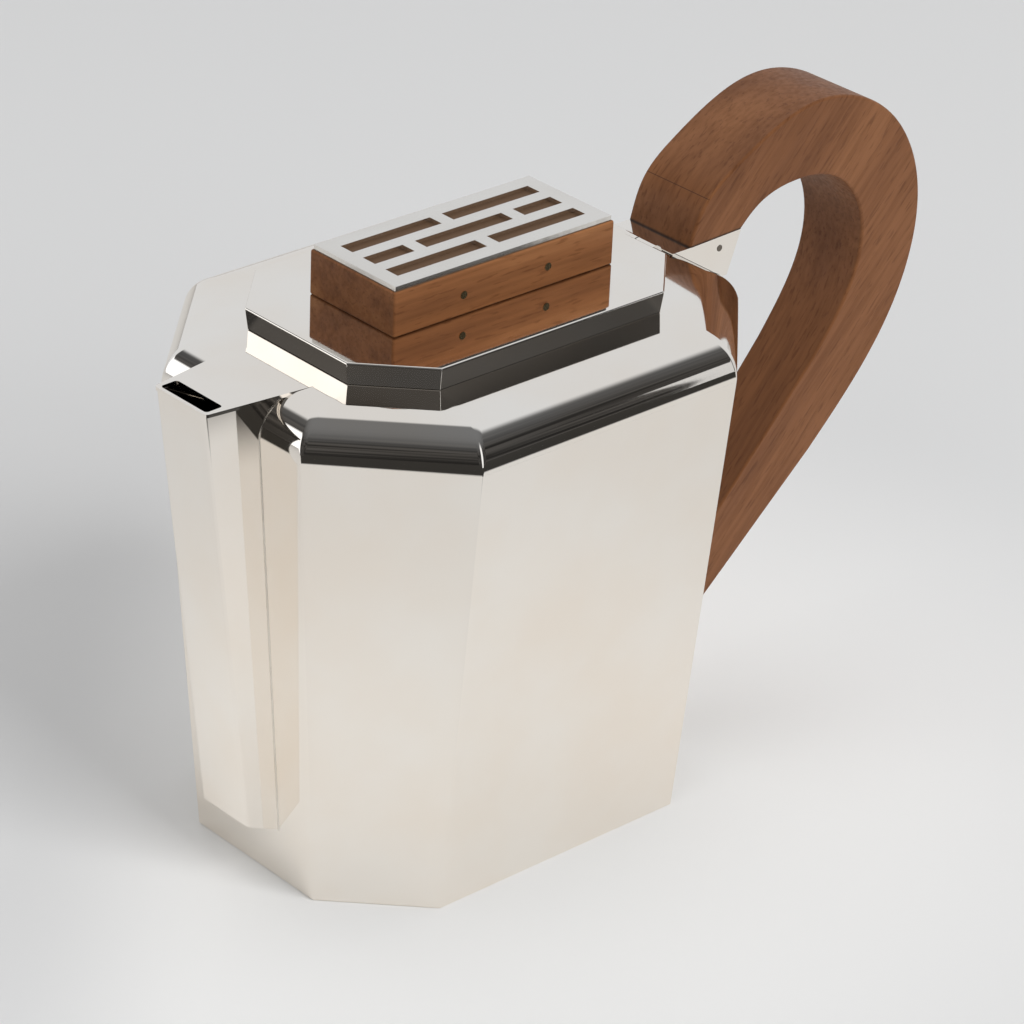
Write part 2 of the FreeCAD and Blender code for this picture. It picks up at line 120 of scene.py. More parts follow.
# Handle sizes, measured from its front seat on the wedge: back along +X, and up
SEAT = np.array((59.8, 122.7)) * MM
SEAT_FRONT = np.array((0.0, -0.75)) * MM
SEAT_REAR = np.array((16.2, -0.2)) * MM
FRONT_SWELL = np.array((4.0, 8.9)) * MM
OUTER_CENTRE = np.array((38.2, -11.6)) * MM
OUTER_RADIUS = 37.5 * MM
OUTER_ANGLES = (132, 90, 50, 10)
OUTER_WAIST = np.array((71.1, -34.0)) * MM
OUTER_RUN_START = np.array((46.0, -66.6)) * MM
INNER_CENTRE = np.array((35.6, -14.1)) * MM
INNER_RADIUS = 21.5 * MM
INNER_ANGLES = (97, 60, 22, -10)
INNER_SHOULDER = np.array((21.3, 4.2)) * MM
INNER_RUN_START = np.array((44.0, -42.0)) * MM
OUTER_RUN_FOOT = 9.0 * MM
INNER_RUN_FOOT = 26.5 * MM
LOWER_SOCKET_LENGTH = 10.0 * MM
HANDLE_TOP_WIDTH = 21.4 * MM
HANDLE_FOOT_WIDTH = 14.2 * MM
HANDLE_EDGE = 0.7 * MM
HANDLE_LOOP_ROWS = 160
HANDLE_RUN_ROWS = 40
HANDLE_CORNER_STEPS = 5
WEDGE_HEEL = np.array((12.5, -10.6)) * MM
WEDGE_LIP = 5.2 * MM
WEDGE_WIDTH = 19.8 * MM
WEDGE_SINK = 0.4 * MM
WEDGE_STEPS = 400


# Mesh helpers

SHARP_ANGLE = math.radians(35)
FLAT_WEIGHT = 100


def add_object(name, data):
    """New object in the scene that shows a mesh, a lamp or a camera."""
    made = bpy.data.objects.new(name, data)
    bpy.context.scene.collection.objects.link(made)
    return made


def new_piece(name, vertices, faces, body, replaced, material):
    """One finished piece: a smooth-shaded mesh that rides on a body and stands for its CAD nodes."""
    mesh = bpy.data.meshes.new(name)
    mesh.from_pydata(vertices.reshape(-1, 3).tolist(), [], faces)
    mesh.polygons.foreach_set("use_smooth", np.ones(len(mesh.polygons), bool))
    mesh.update()
    mesh.set_sharp_from_angle(angle=SHARP_ANGLE)
    mesh.materials.append(material)
    piece = add_object(name, mesh)
    flat = piece.modifiers.new("flat_faces_stay_flat", "WEIGHTED_NORMAL")
    flat.weight = FLAT_WEIGHT
    flat.keep_sharp = True
    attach(piece, body)
    if replaced:
        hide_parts(*replaced)


def grid_faces(rows, columns, close_rows=False):
    """Quads of a grid whose columns run round a ring, and whose rows may close on themselves too."""
    last = rows if close_rows else rows - 1
    row, column = np.meshgrid(np.arange(last), np.arange(columns), indexing="ij")
    start = row * columns
    ahead = (row + 1) % rows * columns
    beside = (column + 1) % columns
    corners = (start + column, start + beside, ahead + beside, ahead + column)
    return np.stack(corners, -1).reshape(-1, 4)


def capped_faces(rows, columns):
    """Faces of a solid made of rings: the quads between the rings, and one face over each end."""
    ring = np.arange(columns)
    ends = [ring[::-1].tolist(), (ring + (rows - 1) * columns).tolist()]
    return grid_faces(rows, columns).tolist() + ends


def loop_quads(first, second):
    """Quads between two closed loops of vertex numbers, or between many pairs of loops at once."""
    corners = (first, np.roll(first, -1, -1), np.roll(second, -1, -1), second)
    return np.stack(corners, -1).reshape(-1, 4)


def corner_arcs(steps):
    """Even turns of an arc round each of the four corners of an oblong, and the corners' signs."""
    turn = np.radians(90.0 * np.arange(4)[:, None] + np.linspace(0, 90, steps)[None])
    first_sign = np.array((1, -1, -1, 1))[:, None]
    second_sign = np.array((1, 1, -1, -1))[:, None]
    return turn, first_sign, second_sign


# Body of eight panels

def panel_distances(outline, inset=0.0):
    """Distances from the axis to the end, long and corner panels of an eight-sided outline."""
    length, width, corner = outline
    ends = length / 2
    sides = width / 2
    corners = (ends + sides - corner) / math.sqrt(2)
    return np.array((ends, sides, corners)) - inset


def octagon_rings(distances, heights, rounding, steps=CREASE_STEPS):
    """Rings of an eight-sided outline, one per height. Each corner is the corner of the outline moved in by
    the rounding, plus an arc of that radius between the two panels' directions. The rounding may differ from
    ring to ring."""
    rounding = np.broadcast_to(rounding, heights.shape)
    ends, sides, corners = (distances[:, k] - rounding for k in range(3))
    reach = corners * math.sqrt(2)
    quarter = np.stack((np.stack((ends, reach - ends), -1), np.stack((reach - sides, sides), -1)), 1)
    flip_x = np.array((-1, 1))
    ring = np.concatenate(
        (quarter, quarter[:, ::-1] * flip_x, -quarter, quarter[:, ::-1] * -flip_x), 1
    )
    turn = np.radians(45.0 * (np.arange(8)[:, None] + np.linspace(0, 1, steps + 1)[None, :]))
    arc = np.stack((np.cos(turn), np.sin(turn)), -1)
    flat = ring[:, :, None, :] + rounding[:, None, None, None] * arc[None]
    level = np.broadcast_to(heights[:, None, None, None], flat.shape[:3] + (1,))
    return np.concatenate((flat, level), -1).reshape(len(heights), -1, 3)


def wall_distances(heights, inset):
    """Panel distances of the leaning wall at given heights: straight lines from base to brow, moved in."""
    base = panel_distances(BASE_OUTLINE)
    lean = (panel_distances(BROW_OUTLINE) - base) / BROW_HEIGHT
    return base + lean * heights[..., None] - inset * np.hypot(1, lean)


def strainer_lines():
    """Lines of the strainer's cells across the front panel and up it, CELL_STEPS to a cell."""
    half = STRAINER_COLUMNS * STRAINER_ACROSS / 2
    low = STRAINER_LOWEST - STRAINER_UP / 2
    across = np.linspace(half, -half, STRAINER_COLUMNS * CELL_STEPS + 1)
    up = np.linspace(low, low + STRAINER_ROWS * STRAINER_UP, STRAINER_ROWS * CELL_STEPS + 1)
    return across, up


def strainer_cells(first_column):
    """Row and column numbers of the outline of every strainer cell, once round."""
    step = np.arange(CELL_STEPS)
    start = np.zeros(CELL_STEPS, int)
    end = start + CELL_STEPS
    row, column = np.meshgrid(np.arange(STRAINER_ROWS), np.arange(STRAINER_COLUMNS), indexing="ij")
    rows = np.concatenate((start, step, end, end - step)) + CELL_STEPS * row.reshape(-1, 1)
    columns = np.concatenate((step, end, end - step, start)) + CELL_STEPS * column.reshape(-1, 1)
    return rows + ROWS_BELOW_STRAINER, columns + first_column


def wall_face(inset, foot_ease):
    """One face of the wall: rings of the leaning outline with extra points over the strainer, and a round in
    each strainer cell, which is the cell's outline drawn in to the hole's radius. The lowest ring is drawn in
    by foot_ease."""
    across, up = strainer_lines()
    heights = np.concatenate(((0, EDGE_ROUND), up, (SEAM_HEIGHT,)))
    distances = wall_distances(heights, inset)
    distances[0] -= foot_ease
    rings = octagon_rings(distances, heights, EDGE_ROUND)
    half = rings.shape[1] // 2
    front = np.stack(np.broadcast_arrays(-distances[:, :1], across[None], heights[:, None]), -1)
    grid = np.concatenate((rings[:, :half], front, rings[:, half:]), 1)
    square = grid[(*strainer_cells(half), slice(1, 3))]
    middle = square.mean(1, keepdims=True)
    away = square - middle
    hole = middle + STRAINER_HOLE / 2 * away / np.linalg.norm(away, axis=-1, keepdims=True)
    hole_x = -wall_distances(hole[..., 1], inset)[..., :1]
    return grid, np.concatenate((hole_x, hole), -1)


def make_wall(material):
    """Wall as one closed sheet: outer face, inner face turned round, the strainer holes' walls between them,
    and the two edges. The quads inside the strainer's cells give way to quads from each cell to its hole."""
    outer, outer_holes = wall_face(0.0, EDGE_ROUND)
    inner, inner_holes = wall_face(WALL_SHEET, 0.0)
    rows, columns = outer.shape[:2]
    first_column = (columns - STRAINER_COLUMNS * CELL_STEPS - 1) // 2
    number = np.arange(rows * columns).reshape(rows, columns)
    holes = number.size + np.arange(outer_holes[..., 0].size).reshape(outer_holes.shape[:2])
    to_inner = number.size + holes.size
    plain = np.ones((rows - 1, columns), bool)
    strainer_rows = slice(ROWS_BELOW_STRAINER, ROWS_BELOW_STRAINER + STRAINER_ROWS * CELL_STEPS)
    plain[strainer_rows, first_column:first_column + STRAINER_COLUMNS * CELL_STEPS] = False
    cells = number[strainer_cells(first_column)]
    face = np.concatenate((grid_faces(rows, columns)[plain.ravel()], loop_quads(cells, holes)))
    faces = np.concatenate((
        face,
        (face + to_inner)[:, ::-1],
        loop_quads(holes, holes + to_inner),
        loop_quads(number[-1], number[-1] + to_inner),
        loop_quads(number[0] + to_inner, number[0]),
    ))
    points = [part.reshape(-1, 3) for part in (outer, outer_holes, inner, inner_holes)]
    new_piece("wall", np.concatenate(points), faces, "pot", ["body_wall"], material)


def shoulder_distances(heights, inset):
    """Panel distances of the shoulder at given heights: the leaning wall, a round of the shoulder's radius
    that touches wall and deck, then the deck's slope up to the rim, all moved inwards by inset."""
    base = panel_distances(BASE_OUTLINE)
    brow = panel_distances(BROW_OUTLINE)
    rim = panel_distances(LID_OUTLINE, LID_OVERHANG)
    lean = (brow - base) / BROW_HEIGHT
    slope = (RIM_HEIGHT - BROW_HEIGHT) / (brow - rim)
    radius = SHOULDER_RADIUS - inset
    wall_shift = base - SHOULDER_RADIUS * np.hypot(1, lean)
    deck_shift = RIM_HEIGHT + slope * rim - SHOULDER_RADIUS * np.hypot(1, slope)
    centre_height = (deck_shift - slope * wall_shift) / (1 + slope * lean)
    centre = wall_shift + lean * centre_height
    wall_end = centre_height - radius * lean / np.hypot(1, lean)
    deck_start = centre_height + radius / np.hypot(1, slope)
    z = heights[:, None]
    wall = base + lean * z - inset * np.hypot(1, lean)
    inner_deck = RIM_HEIGHT - inset * np.hypot(1, slope)
    deck = rim + (inner_deck - z) / slope
    lift = np.clip(z - centre_height, -radius, radius)
    round_part = centre + np.sqrt(radius ** 2 - lift ** 2)
    return np.where(z < wall_end, wall, np.where(z < deck_start, round_part, deck))


def shoulder_heights(low, high, count):
    """Heights that crowd together towards the top, where the round turns level."""
    return low + (high - low) * np.sin(np.linspace(0, math.pi / 2, count))


def make_shoulder(material):
    """Shoulder and deck as one closed sheet: rings up the outer face to the rim, level in to the mouth, and
    back down the inner face to the seam. The creases between panels grow rounder from the seam upwards."""
    outer_z = shoulder_heights(SEAM_HEIGHT, RIM_HEIGHT, SHOULDER_ROWS)
    outer = shoulder_distances(outer_z, 0.0)
    mouth = panel_distances(LID_OUTLINE, MOUTH_MARGIN)[None]
    inner_z = shoulder_heights(SEAM_HEIGHT, RIM_HEIGHT - WALL_SHEET, SHOULDER_INNER_ROWS)[::-1]
    inner = shoulder_distances(inner_z, WALL_SHEET)
    distances = np.concatenate((outer, mouth, mouth, inner))
    top = np.array((RIM_HEIGHT, RIM_HEIGHT - WALL_SHEET))
    heights = np.concatenate((outer_z, top, inner_z))
    rounding = np.full(len(heights), EDGE_ROUND)
    rise = np.clip((outer_z - SEAM_HEIGHT) / SHOULDER_EDGE_RISE, 0, 1)
    rounding[:len(outer_z)] += (SHOULDER_EDGE - EDGE_ROUND) * rise ** 2 * (3 - 2 * rise)
    rings = octagon_rings(distances, heights, rounding, SHOULDER_CREASE_STEPS)
    faces = grid_faces(*rings.shape[:2], close_rows=True)
    new_piece("shoulder", rings, faces, "pot", ["shoulder_deck"], material)


# Spout

def spout_plan(heights, inset):
    """Front edge, half width at the front and half width at the rim of the spout at given heights, each a
    straight line from the foot to the top, moved inwards by inset."""
    foot_front = -BASE_OUTLINE[0] / 2 - END_LEAN * SPOUT_FOOT_HEIGHT - SPOUT_FOOT_REACH
    share = (heights - SPOUT_LOW) / (SPOUT_TOP - SPOUT_LOW)
    rise = (heights - SPOUT_FOOT_HEIGHT) / (SPOUT_TOP - SPOUT_FOOT_HEIGHT)
    front = foot_front + (-SPOUT_TIP - foot_front) * rise + inset
    widths = [f + (t - f) * share for f, t in zip(SPOUT_FOOT_WIDTHS, SPOUT_TIP_WIDTHS)]
    return front, widths[0] / 2 - inset, widths[1] / 2 - inset


def spout_root(heights, inset):
    """Points where the spout's side enters the body, a little way into its sheet."""
    front, tip, root = spout_plan(heights, inset)
    x = SPOUT_SINK - shoulder_distances(heights, 0.0)[:, 0]
    y = tip + (root - tip) * (x - front) / (-RIM_END - front)
    return np.stack((x, y, heights), -1)[:, None]


def spout_fold(heights, inset):
    """Points of the fold between the spout's side and front: an arc that touches both, in even steps, one to
    each column of heights."""
    front, tip, root = spout_plan(heights, inset)
    radius = SPOUT_BEND - inset
    side = np.arctan2(-RIM_END - front, tip - root)
    touch = radius / np.tan(side / 2)
    turn = side + (math.pi - side) * np.linspace(0, 1, heights.shape[1])
    x = front + radius + radius * np.cos(turn)
    y = tip - touch + radius * np.sin(turn)
    return np.stack((x, y, heights), -1)


def make_spout(material):
    """Folded channel: a strip that runs from the body along one side, round the fold, across the front and
    back along the other side, carried from the sloping foot up to the top plate, with an inner face."""
    share = np.linspace(0, 1, SPOUT_ROWS)[:, None]
    foot = spout_fold(np.full((1, SPOUT_BEND_STEPS), SPOUT_FOOT_HEIGHT), 0.0)[0, :, 0]
    front = foot.min()
    wall = spout_root(np.array((SPOUT_LOW,)), 0.0)[0, 0, 0] - SPOUT_SINK
    fold_foot = SPOUT_FOOT_HEIGHT - SPOUT_FOOT_DROP * (foot - front) / (wall - front)
    brow = BROW_OUTLINE[0] / 2 - SHOULDER_RADIUS / 2
    root_top = SPOUT_TOP + SPOUT_PLATE_RISE * (SPOUT_TIP - brow) / (SPOUT_TIP - RIM_END)
    root_z = (SPOUT_LOW + (root_top - SPOUT_LOW) * share)[:, 0]
    fold_z = fold_foot + (SPOUT_TOP - fold_foot) * share
    strips = []
    for inset in (0.0, SPOUT_SHEET):
        half = np.concatenate((spout_root(root_z, inset), spout_fold(fold_z, inset)), 1)
        strips.append(np.concatenate((half, half[:, ::-1] * (1, -1, 1)), 1))
    rings = np.concatenate((strips[0], strips[1][:, ::-1]), 1)
    rows, columns = rings.shape[:2]
    outer = np.arange(columns // 2)
    ends = np.stack((outer[:-1], outer[1:], columns - 2 - outer[:-1], columns - 1 - outer[:-1]), -1)
    faces = np.concatenate((grid_faces(rows, columns), ends[:, ::-1], ends + (rows - 1) * columns))
    new_piece("spout", rings, faces, "pot", ["spout_channel"], material)


def rounded_corners(corners, radii, steps):
    """Closed flat loop in which each corner point gives way to an arc that touches both its sides. The arc's
    points turn evenly from one side's touching point to the other's."""
    back = np.roll(corners, 1, 0) - corners
    ahead = np.roll(corners, -1, 0) - corners
    back /= np.linalg.norm(back, axis=1, keepdims=True)
    ahead /= np.linalg.norm(ahead, axis=1, keepdims=True)
    half = np.arccos((back * ahead).sum(1, keepdims=True)) / 2
    inward = (back + ahead) / np.linalg.norm(back + ahead, axis=1, keepdims=True)
    centre = corners + inward * radii[:, None] / np.sin(half)
    start = corners + back * radii[:, None] / np.tan(half) - centre
    end = corners + ahead * radii[:, None] / np.tan(half) - centre
    turn = (math.pi - 2 * half)[:, None]
    share = np.linspace(0, 1, steps)[None, :, None]
    from_start = np.sin((1 - share) * turn) * start[:, None]
    to_end = np.sin(share * turn) * end[:, None]
    return (centre[:, None] + (from_start + to_end) / np.sin(turn)).reshape(-1, 2)


def make_spout_plate(material):
    """Thin plate over the spout that lies on the deck up to the lid: an outline and a slot, both loops of
    rounded corners, on a plane that rises evenly from the tip, and the same plane one sheet higher."""
    front, tip, root = spout_plan(np.array(SPOUT_TOP), 0.0)
    rim = -RIM_END
    slot_front = front + SPOUT_SHEET
    slot_rear = slot_front + SLOT_LENGTH
    half = tip - SPOUT_SHEET / 2
    edge_tip = tip + SPOUT_PLATE_LIP
    edge_root = root + SPOUT_PLATE_LIP
    outline = np.array(((rim, edge_root), (front, edge_tip), (front, -edge_tip), (rim, -edge_root)))
    slot = np.array(((slot_rear, half), (slot_front, half), (slot_front, -half), (slot_rear, -half)))
    outline_radii = np.array((SPOUT_SHEET, SPOUT_BEND, SPOUT_BEND, SPOUT_SHEET))
    outer = rounded_corners(outline, outline_radii, SPOUT_BEND_STEPS)
    inner = rounded_corners(slot, np.full(len(slot), SLOT_CORNER), SPOUT_BEND_STEPS)
    flat = np.stack((outer, outer, inner, inner))
    height = SPOUT_TOP + SPOUT_PLATE_RISE * (flat[..., :1] - front) / (rim - front)
    height += np.array((0, SPOUT_SHEET, SPOUT_SHEET, 0))[:, None, None]
    rings = np.concatenate((flat, height), -1)
    faces = grid_faces(*rings.shape[:2], close_rows=True)
    new_piece("spout_plate", rings, faces, "pot", ["spout_top_plate"], material)


def make_spout_seams(material):
    """Solder beads where the spout's sides meet the wall: a small ring carried up each joint line."""
    heights = np.linspace(SPOUT_LOW, SPOUT_TOP, SPOUT_ROWS)
    line = spout_root(heights, 0.0)[:, 0] - (SPOUT_SINK, 0, 0)
    turn = np.linspace(0, 2 * math.pi, SEAM_SIDES, endpoint=False)
    ring = SEAM_BEAD * np.stack((np.cos(turn), np.sin(turn), 0 * turn), -1)
    left = line[:, None] + ring[None]
    right = (left * (1, -1, 1))[:, ::-1]
    for name, rings in (("spout_seam_left", left), ("spout_seam_right", right)):
        new_piece(name, rings, capped_faces(*rings.shape[:2]), "pot", [], material)


# Lid and knob

def make_lid(material):
    """Hollow slab: from the ceiling inside, down the inner face, round the foot, up the outer face, which
    leans out, and over a small round to the flat top. Each ring is the lid's outline moved inwards."""
    turn = np.linspace(0, math.pi / 2, LID_EDGE_STEPS)
    inside = LID_OVERHANG + LID_SHEET
    foot_inset = (inside, inside, LID_OVERHANG + LID_FOOT_EDGE, LID_OVERHANG)
    inset = np.concatenate((foot_inset, LID_EDGE * (1 - np.cos(turn))))
    ceiling = LID_TOP - LID_SHEET
    foot = (ceiling, LID_BOTTOM, LID_BOTTOM, LID_BOTTOM + LID_FOOT_EDGE)
    heights = np.concatenate((foot, LID_TOP - LID_EDGE * (1 - np.sin(turn))))
    rings = octagon_rings(panel_distances(LID_OUTLINE) - inset[:, None], heights, EDGE_ROUND)
    faces = capped_faces(*rings.shape[:2])
    new_piece("lid_slab", rings, faces, "lid", ["lid_shell"], material)


def make_knob(material):
    """Block with all its edges rounded: four corner points, each with an arc that shrinks towards the top and
    bottom as the circles of a ball do."""
    lift = np.radians(np.linspace(-KNOB_EDGE_DEGREES, KNOB_EDGE_DEGREES, KNOB_ROWS))
    turn, sign_x, sign_y = corner_arcs(KNOB_CORNER_STEPS)
    out = KNOB_EDGE * np.cos(lift)[:, None, None]
    x = KNOB_MIDDLE + sign_x * (KNOB_LENGTH / 2 - KNOB_EDGE) + out * np.cos(turn)
    y = sign_y * (KNOB_WIDTH / 2 - KNOB_EDGE) + out * np.sin(turn)
    middle = np.where(lift < 0, LID_TOP + KNOB_EDGE, LID_TOP + KNOB_HEIGHT - KNOB_EDGE)
    z = np.broadcast_to((middle + KNOB_EDGE * np.sin(lift))[:, None, None], x.shape)
    rings = np.stack((x, y, z), -1).reshape(len(lift), -1, 3)
    faces = capped_faces(*rings.shape[:2])
    new_piece("knob", rings, faces, "lid", ["knob_block"], material)


# Handle

def smooth_curve(points, count):
    """Natural cubic spline through a few points, by distance between them, sampled evenly by distance."""
    knots = np.concatenate(([0], np.cumsum(np.linalg.norm(np.diff(points, axis=0), axis=1))))
    gaps = np.diff(knots)
    size = len(points)
    system = np.eye(size)
    rows = np.arange(1, size - 1)
    system[rows, rows - 1] = gaps[:-1]
    system[rows, rows] = 2 * (gaps[:-1] + gaps[1:])
    system[rows, rows + 1] = gaps[1:]
    rise = np.diff(points, axis=0) / gaps[:, None]
    load = np.zeros_like(points)
    load[1:-1] = 6 * np.diff(rise, axis=0)
    bend = np.linalg.solve(system, load)
    at = np.linspace(0, knots[-1], count)
    span = np.clip(np.searchsorted(knots, at, side="right") - 1, 0, size - 2)
    gap = gaps[span][:, None]
    ahead = (knots[span + 1] - at)[:, None]
    behind = (at - knots[span])[:, None]
    cubic = (bend[span] * ahead ** 3 + bend[span + 1] * behind ** 3) / (6 * gap)
    start = (points[span] / gap - bend[span] * gap / 6) * ahead
    end = (points[span + 1] / gap - bend[span + 1] * gap / 6) * behind
    return cubic + start + end


def loop_points(centre, radius, angles):
    """Points on a round of the loop, by angles above level."""
    turn = np.radians(np.array(angles, float))
    return centre + radius * np.stack((np.cos(turn), np.sin(turn)), -1)


def run_mouth(foot_height, start):
    """Where an edge of the straight run reaches the lower socket's mouth, a set length from the rear wall."""
    foot = np.array((BASE_OUTLINE[0] / 2 + END_LEAN * foot_height, foot_height))
    step = start - foot
    return foot + step * LOWER_SOCKET_LENGTH / (step[0] - END_LEAN * step[1])


def handle_edges():
    """Outer and inner edge of the handle from the seat to the lower socket, point for point."""
    outer_loop = loop_points(OUTER_CENTRE, OUTER_RADIUS, OUTER_ANGLES)
    outer = np.concatenate(([SEAT_FRONT, FRONT_SWELL], outer_loop, [OUTER_WAIST, OUTER_RUN_START]))
    inner_loop = loop_points(INNER_CENTRE, INNER_RADIUS, INNER_ANGLES)
    inner = np.concatenate(([SEAT_REAR, INNER_SHOULDER], inner_loop, [INNER_RUN_START]))
    share = np.linspace(0, 1, HANDLE_RUN_ROWS)[1:, None]
    edges = []
    for points, foot in ((outer, OUTER_RUN_FOOT), (inner, INNER_RUN_FOOT)):
        loop = SEAT + smooth_curve(points, HANDLE_LOOP_ROWS)
        run = loop[-1] + share * (run_mouth(foot, loop[-1]) - loop[-1])
        edges.append(np.concatenate((loop, run)))
    return edges


def make_handle(material):
    """Rounded oblong section carried from the seat to the lower socket: each section spans from the inner
    to the outer edge, and its width follows its height in a straight line from foot to loop."""
    outer, inner = handle_edges()
    across = (outer - inner)[:, None, None]
    depth = np.linalg.norm(across, axis=-1)
    turn, sign_across, sign_side = corner_arcs(HANDLE_CORNER_STEPS)
    place = (sign_across * (depth / 2 - HANDLE_EDGE) + HANDLE_EDGE * np.cos(turn)) / depth + 0.5
    flat = inner[:, None, None] + place[..., None] * across
    top = SEAT[1] + OUTER_CENTRE[1] + OUTER_RADIUS
    share = (flat[..., 1] - OUTER_RUN_FOOT) / (top - OUTER_RUN_FOOT)
    half = (HANDLE_FOOT_WIDTH + (HANDLE_TOP_WIDTH - HANDLE_FOOT_WIDTH) * share) / 2
    side = sign_side * (half - HANDLE_EDGE) + HANDLE_EDGE * np.sin(turn)
    rings = np.stack((flat[..., 0], -side, flat[..., 1]), -1).reshape(len(outer), -1, 3)
    faces = capped_faces(*rings.shape[:2])
    new_piece("wooden_handle", rings, faces, "pot", ["handle"], material)


def make_wedge(material):
    """Silver wedge under the handle's upper end: an outline carried straight across. Its top is flat and runs
    forward as a thin lip, and its underside lies just inside the shoulder."""
    heel = SEAT + WEDGE_HEEL
    lip = SEAT + SEAT_FRONT - (WEDGE_LIP, 0)
    heights = np.linspace(heel[1], RIM_HEIGHT, WEDGE_STEPS)
    underside = np.stack((shoulder_distances(heights, WEDGE_SINK)[:, 0], heights - WEDGE_SINK), -1)
    underside = underside[underside[:, 0] > lip[0]]
    outline = np.concatenate(([SEAT + SEAT_FRONT, SEAT + SEAT_REAR, heel], underside, [lip]))
    rings = np.stack([np.insert(outline, 1, side * WEDGE_WIDTH / 2, axis=1) for side in (-1, 1)])
    faces = capped_faces(*rings.shape[:2])
    new_piece("handle_wedge", rings, faces, "pot", ["upper_socket"], material)


# Node helpers

NOISE_RANGE = (0.3, 0.7)


def add_node(tree, kind, **settings):
    """One shader node with its properties set."""
    made = tree.nodes.new(kind)
    for name, value in settings.items():
        setattr(made, name, value)
    return made


def feed(tree, socket, given):
    """Gives a socket a link from another socket, a fixed colour or a fixed number."""
    if isinstance(given, bpy.types.NodeSocket):
        tree.links.new(given, socket)
    elif isinstance(given, tuple):
        socket.default_value = (*given, 1.0)
    else:
        socket.default_value = given


def combined(tree, operation, first, second):
    """One value out of two, such as their sum or the larger one."""
    made = add_node(tree, "ShaderNodeMath", operation=operation)
    feed(tree, made.inputs[0], first)
    feed(tree, made.inputs[1], second)
    return made.outputs[0]


def product(tree, first, *others):
    """Product of two or more values."""
    for other in others:
        first = combined(tree, "MULTIPLY", first, other)
    return first


def smooth_step(tree, source, start, end):
    """Rises smoothly from 0 at start to 1 at end."""
    made = add_node(tree, "ShaderNodeMapRange", interpolation_type="SMOOTHSTEP")
    made.inputs["From Min"].default_value = start
    made.inputs["From Max"].default_value = end
    tree.links.new(source, made.inputs["Value"])
    return made.outputs["Result"]


def absent(tree, source):
    """1 where a value is 0, and 0 where it is 1 or more."""
    return smooth_step(tree, source, 1.0, 0.0)


def along(tree, place, way):
    """How far a place or a direction lies along a way."""
    made = add_node(tree, "ShaderNodeVectorMath", operation="DOT_PRODUCT")
    made.inputs[1].default_value = way
    tree.links.new(place, made.inputs[0])
    return made.outputs["Value"]


def step_along(tree, place, way, limits):
    """Rises smoothly from 0 to 1 between two limits along a way."""
    return smooth_step(tree, along(tree, place, way), *limits)


def spread(tree, source, low, high):
    """The usual range of a noise spread to run from low to high."""
    made = add_node(tree, "ShaderNodeMapRange")
    for label, value in zip(("From Min", "From Max", "To Min", "To Max"), (*NOISE_RANGE, low, high)):
        made.inputs[label].default_value = value
    tree.links.new(source, made.inputs["Value"])
    return made.outputs["Result"]


def stretched(tree, place, factors):
    """A place times three factors. A small factor stretches what is drawn there along that axis."""
    made = add_node(tree, "ShaderNodeVectorMath", operation="MULTIPLY")
    made.inputs[1].default_value = factors
    tree.links.new(place, made.inputs[0])
    return made.outputs[0]


def noise(tree, place, scale, detail):
    """Cloudy noise over a place."""
    made = add_node(tree, "ShaderNodeTexNoise")
    made.inputs["Detail"].default_value = detail
    feed(tree, made.inputs["Scale"], scale)
    tree.links.new(place, made.inputs["Vector"])
    return made.outputs["Fac"]


def ramp(tree, source, stops):
    """Colour ramp over a value, from (place, colour) stops."""
    made = tree.nodes.new("ShaderNodeValToRGB")
    band = made.color_ramp
    band.elements[0].position = stops[0][0]
    band.elements[1].position = stops[-1][0]
    for place, _ in stops[1:-1]:
        band.elements.new(place)
    for element, (_, colour) in zip(band.elements, stops):
        element.color = (*colour, 1.0)
    tree.links.new(source, made.inputs["Fac"])
    return made.outputs["Color"]


def mixed_colour(tree, factor, first, second, blend="MIX"):
    """Goes from the first colour to the second, or to their blend, as the factor rises."""
    made = add_node(tree, "ShaderNodeMix", data_type="RGBA", blend_type=blend)
    feed(tree, made.inputs["Factor"], factor)
    feed(tree, made.inputs["A"], first)
    feed(tree, made.inputs["B"], second)
    return made.outputs["Result"]


def add_relief(tree, shader, height, strength, distance):
    """Fine relief on a shader, from a height."""
    relief = add_node(tree, "ShaderNodeBump")
    relief.inputs["Strength"].default_value = strength
    relief.inputs["Distance"].default_value = distance
    tree.links.new(height, relief.inputs["Height"])
    tree.links.new(relief.outputs["Normal"], shader.inputs["Normal"])


def new_material(name):
    """Empty material with its Principled shader and Object coordinates."""
    made = bpy.data.materials.new(name)
    made.use_nodes = True
    shader = made.node_tree.nodes["Principled BSDF"]
    place = made.node_tree.nodes.new("ShaderNodeTexCoord").outputs["Object"]
    return made, made.node_tree, shader, place


def effect_group(name, inputs, outputs):
    """Empty shader node group with a Vector input, named numbers and outputs, and its two end nodes."""
    group = bpy.data.node_groups.new(name, "ShaderNodeTree")
    group.interface.new_socket("Vector", in_out="INPUT", socket_type="NodeSocketVector")
    for label, value in inputs:
        socket = group.interface.new_socket(label, in_out="INPUT", socket_type="NodeSocketFloat")
        socket.default_value = value
    for label in outputs:
        group.interface.new_socket(label, in_out="OUTPUT", socket_type="NodeSocketFloat")
    return group, group.nodes.new("NodeGroupInput"), group.nodes.new("NodeGroupOutput")


# Materials

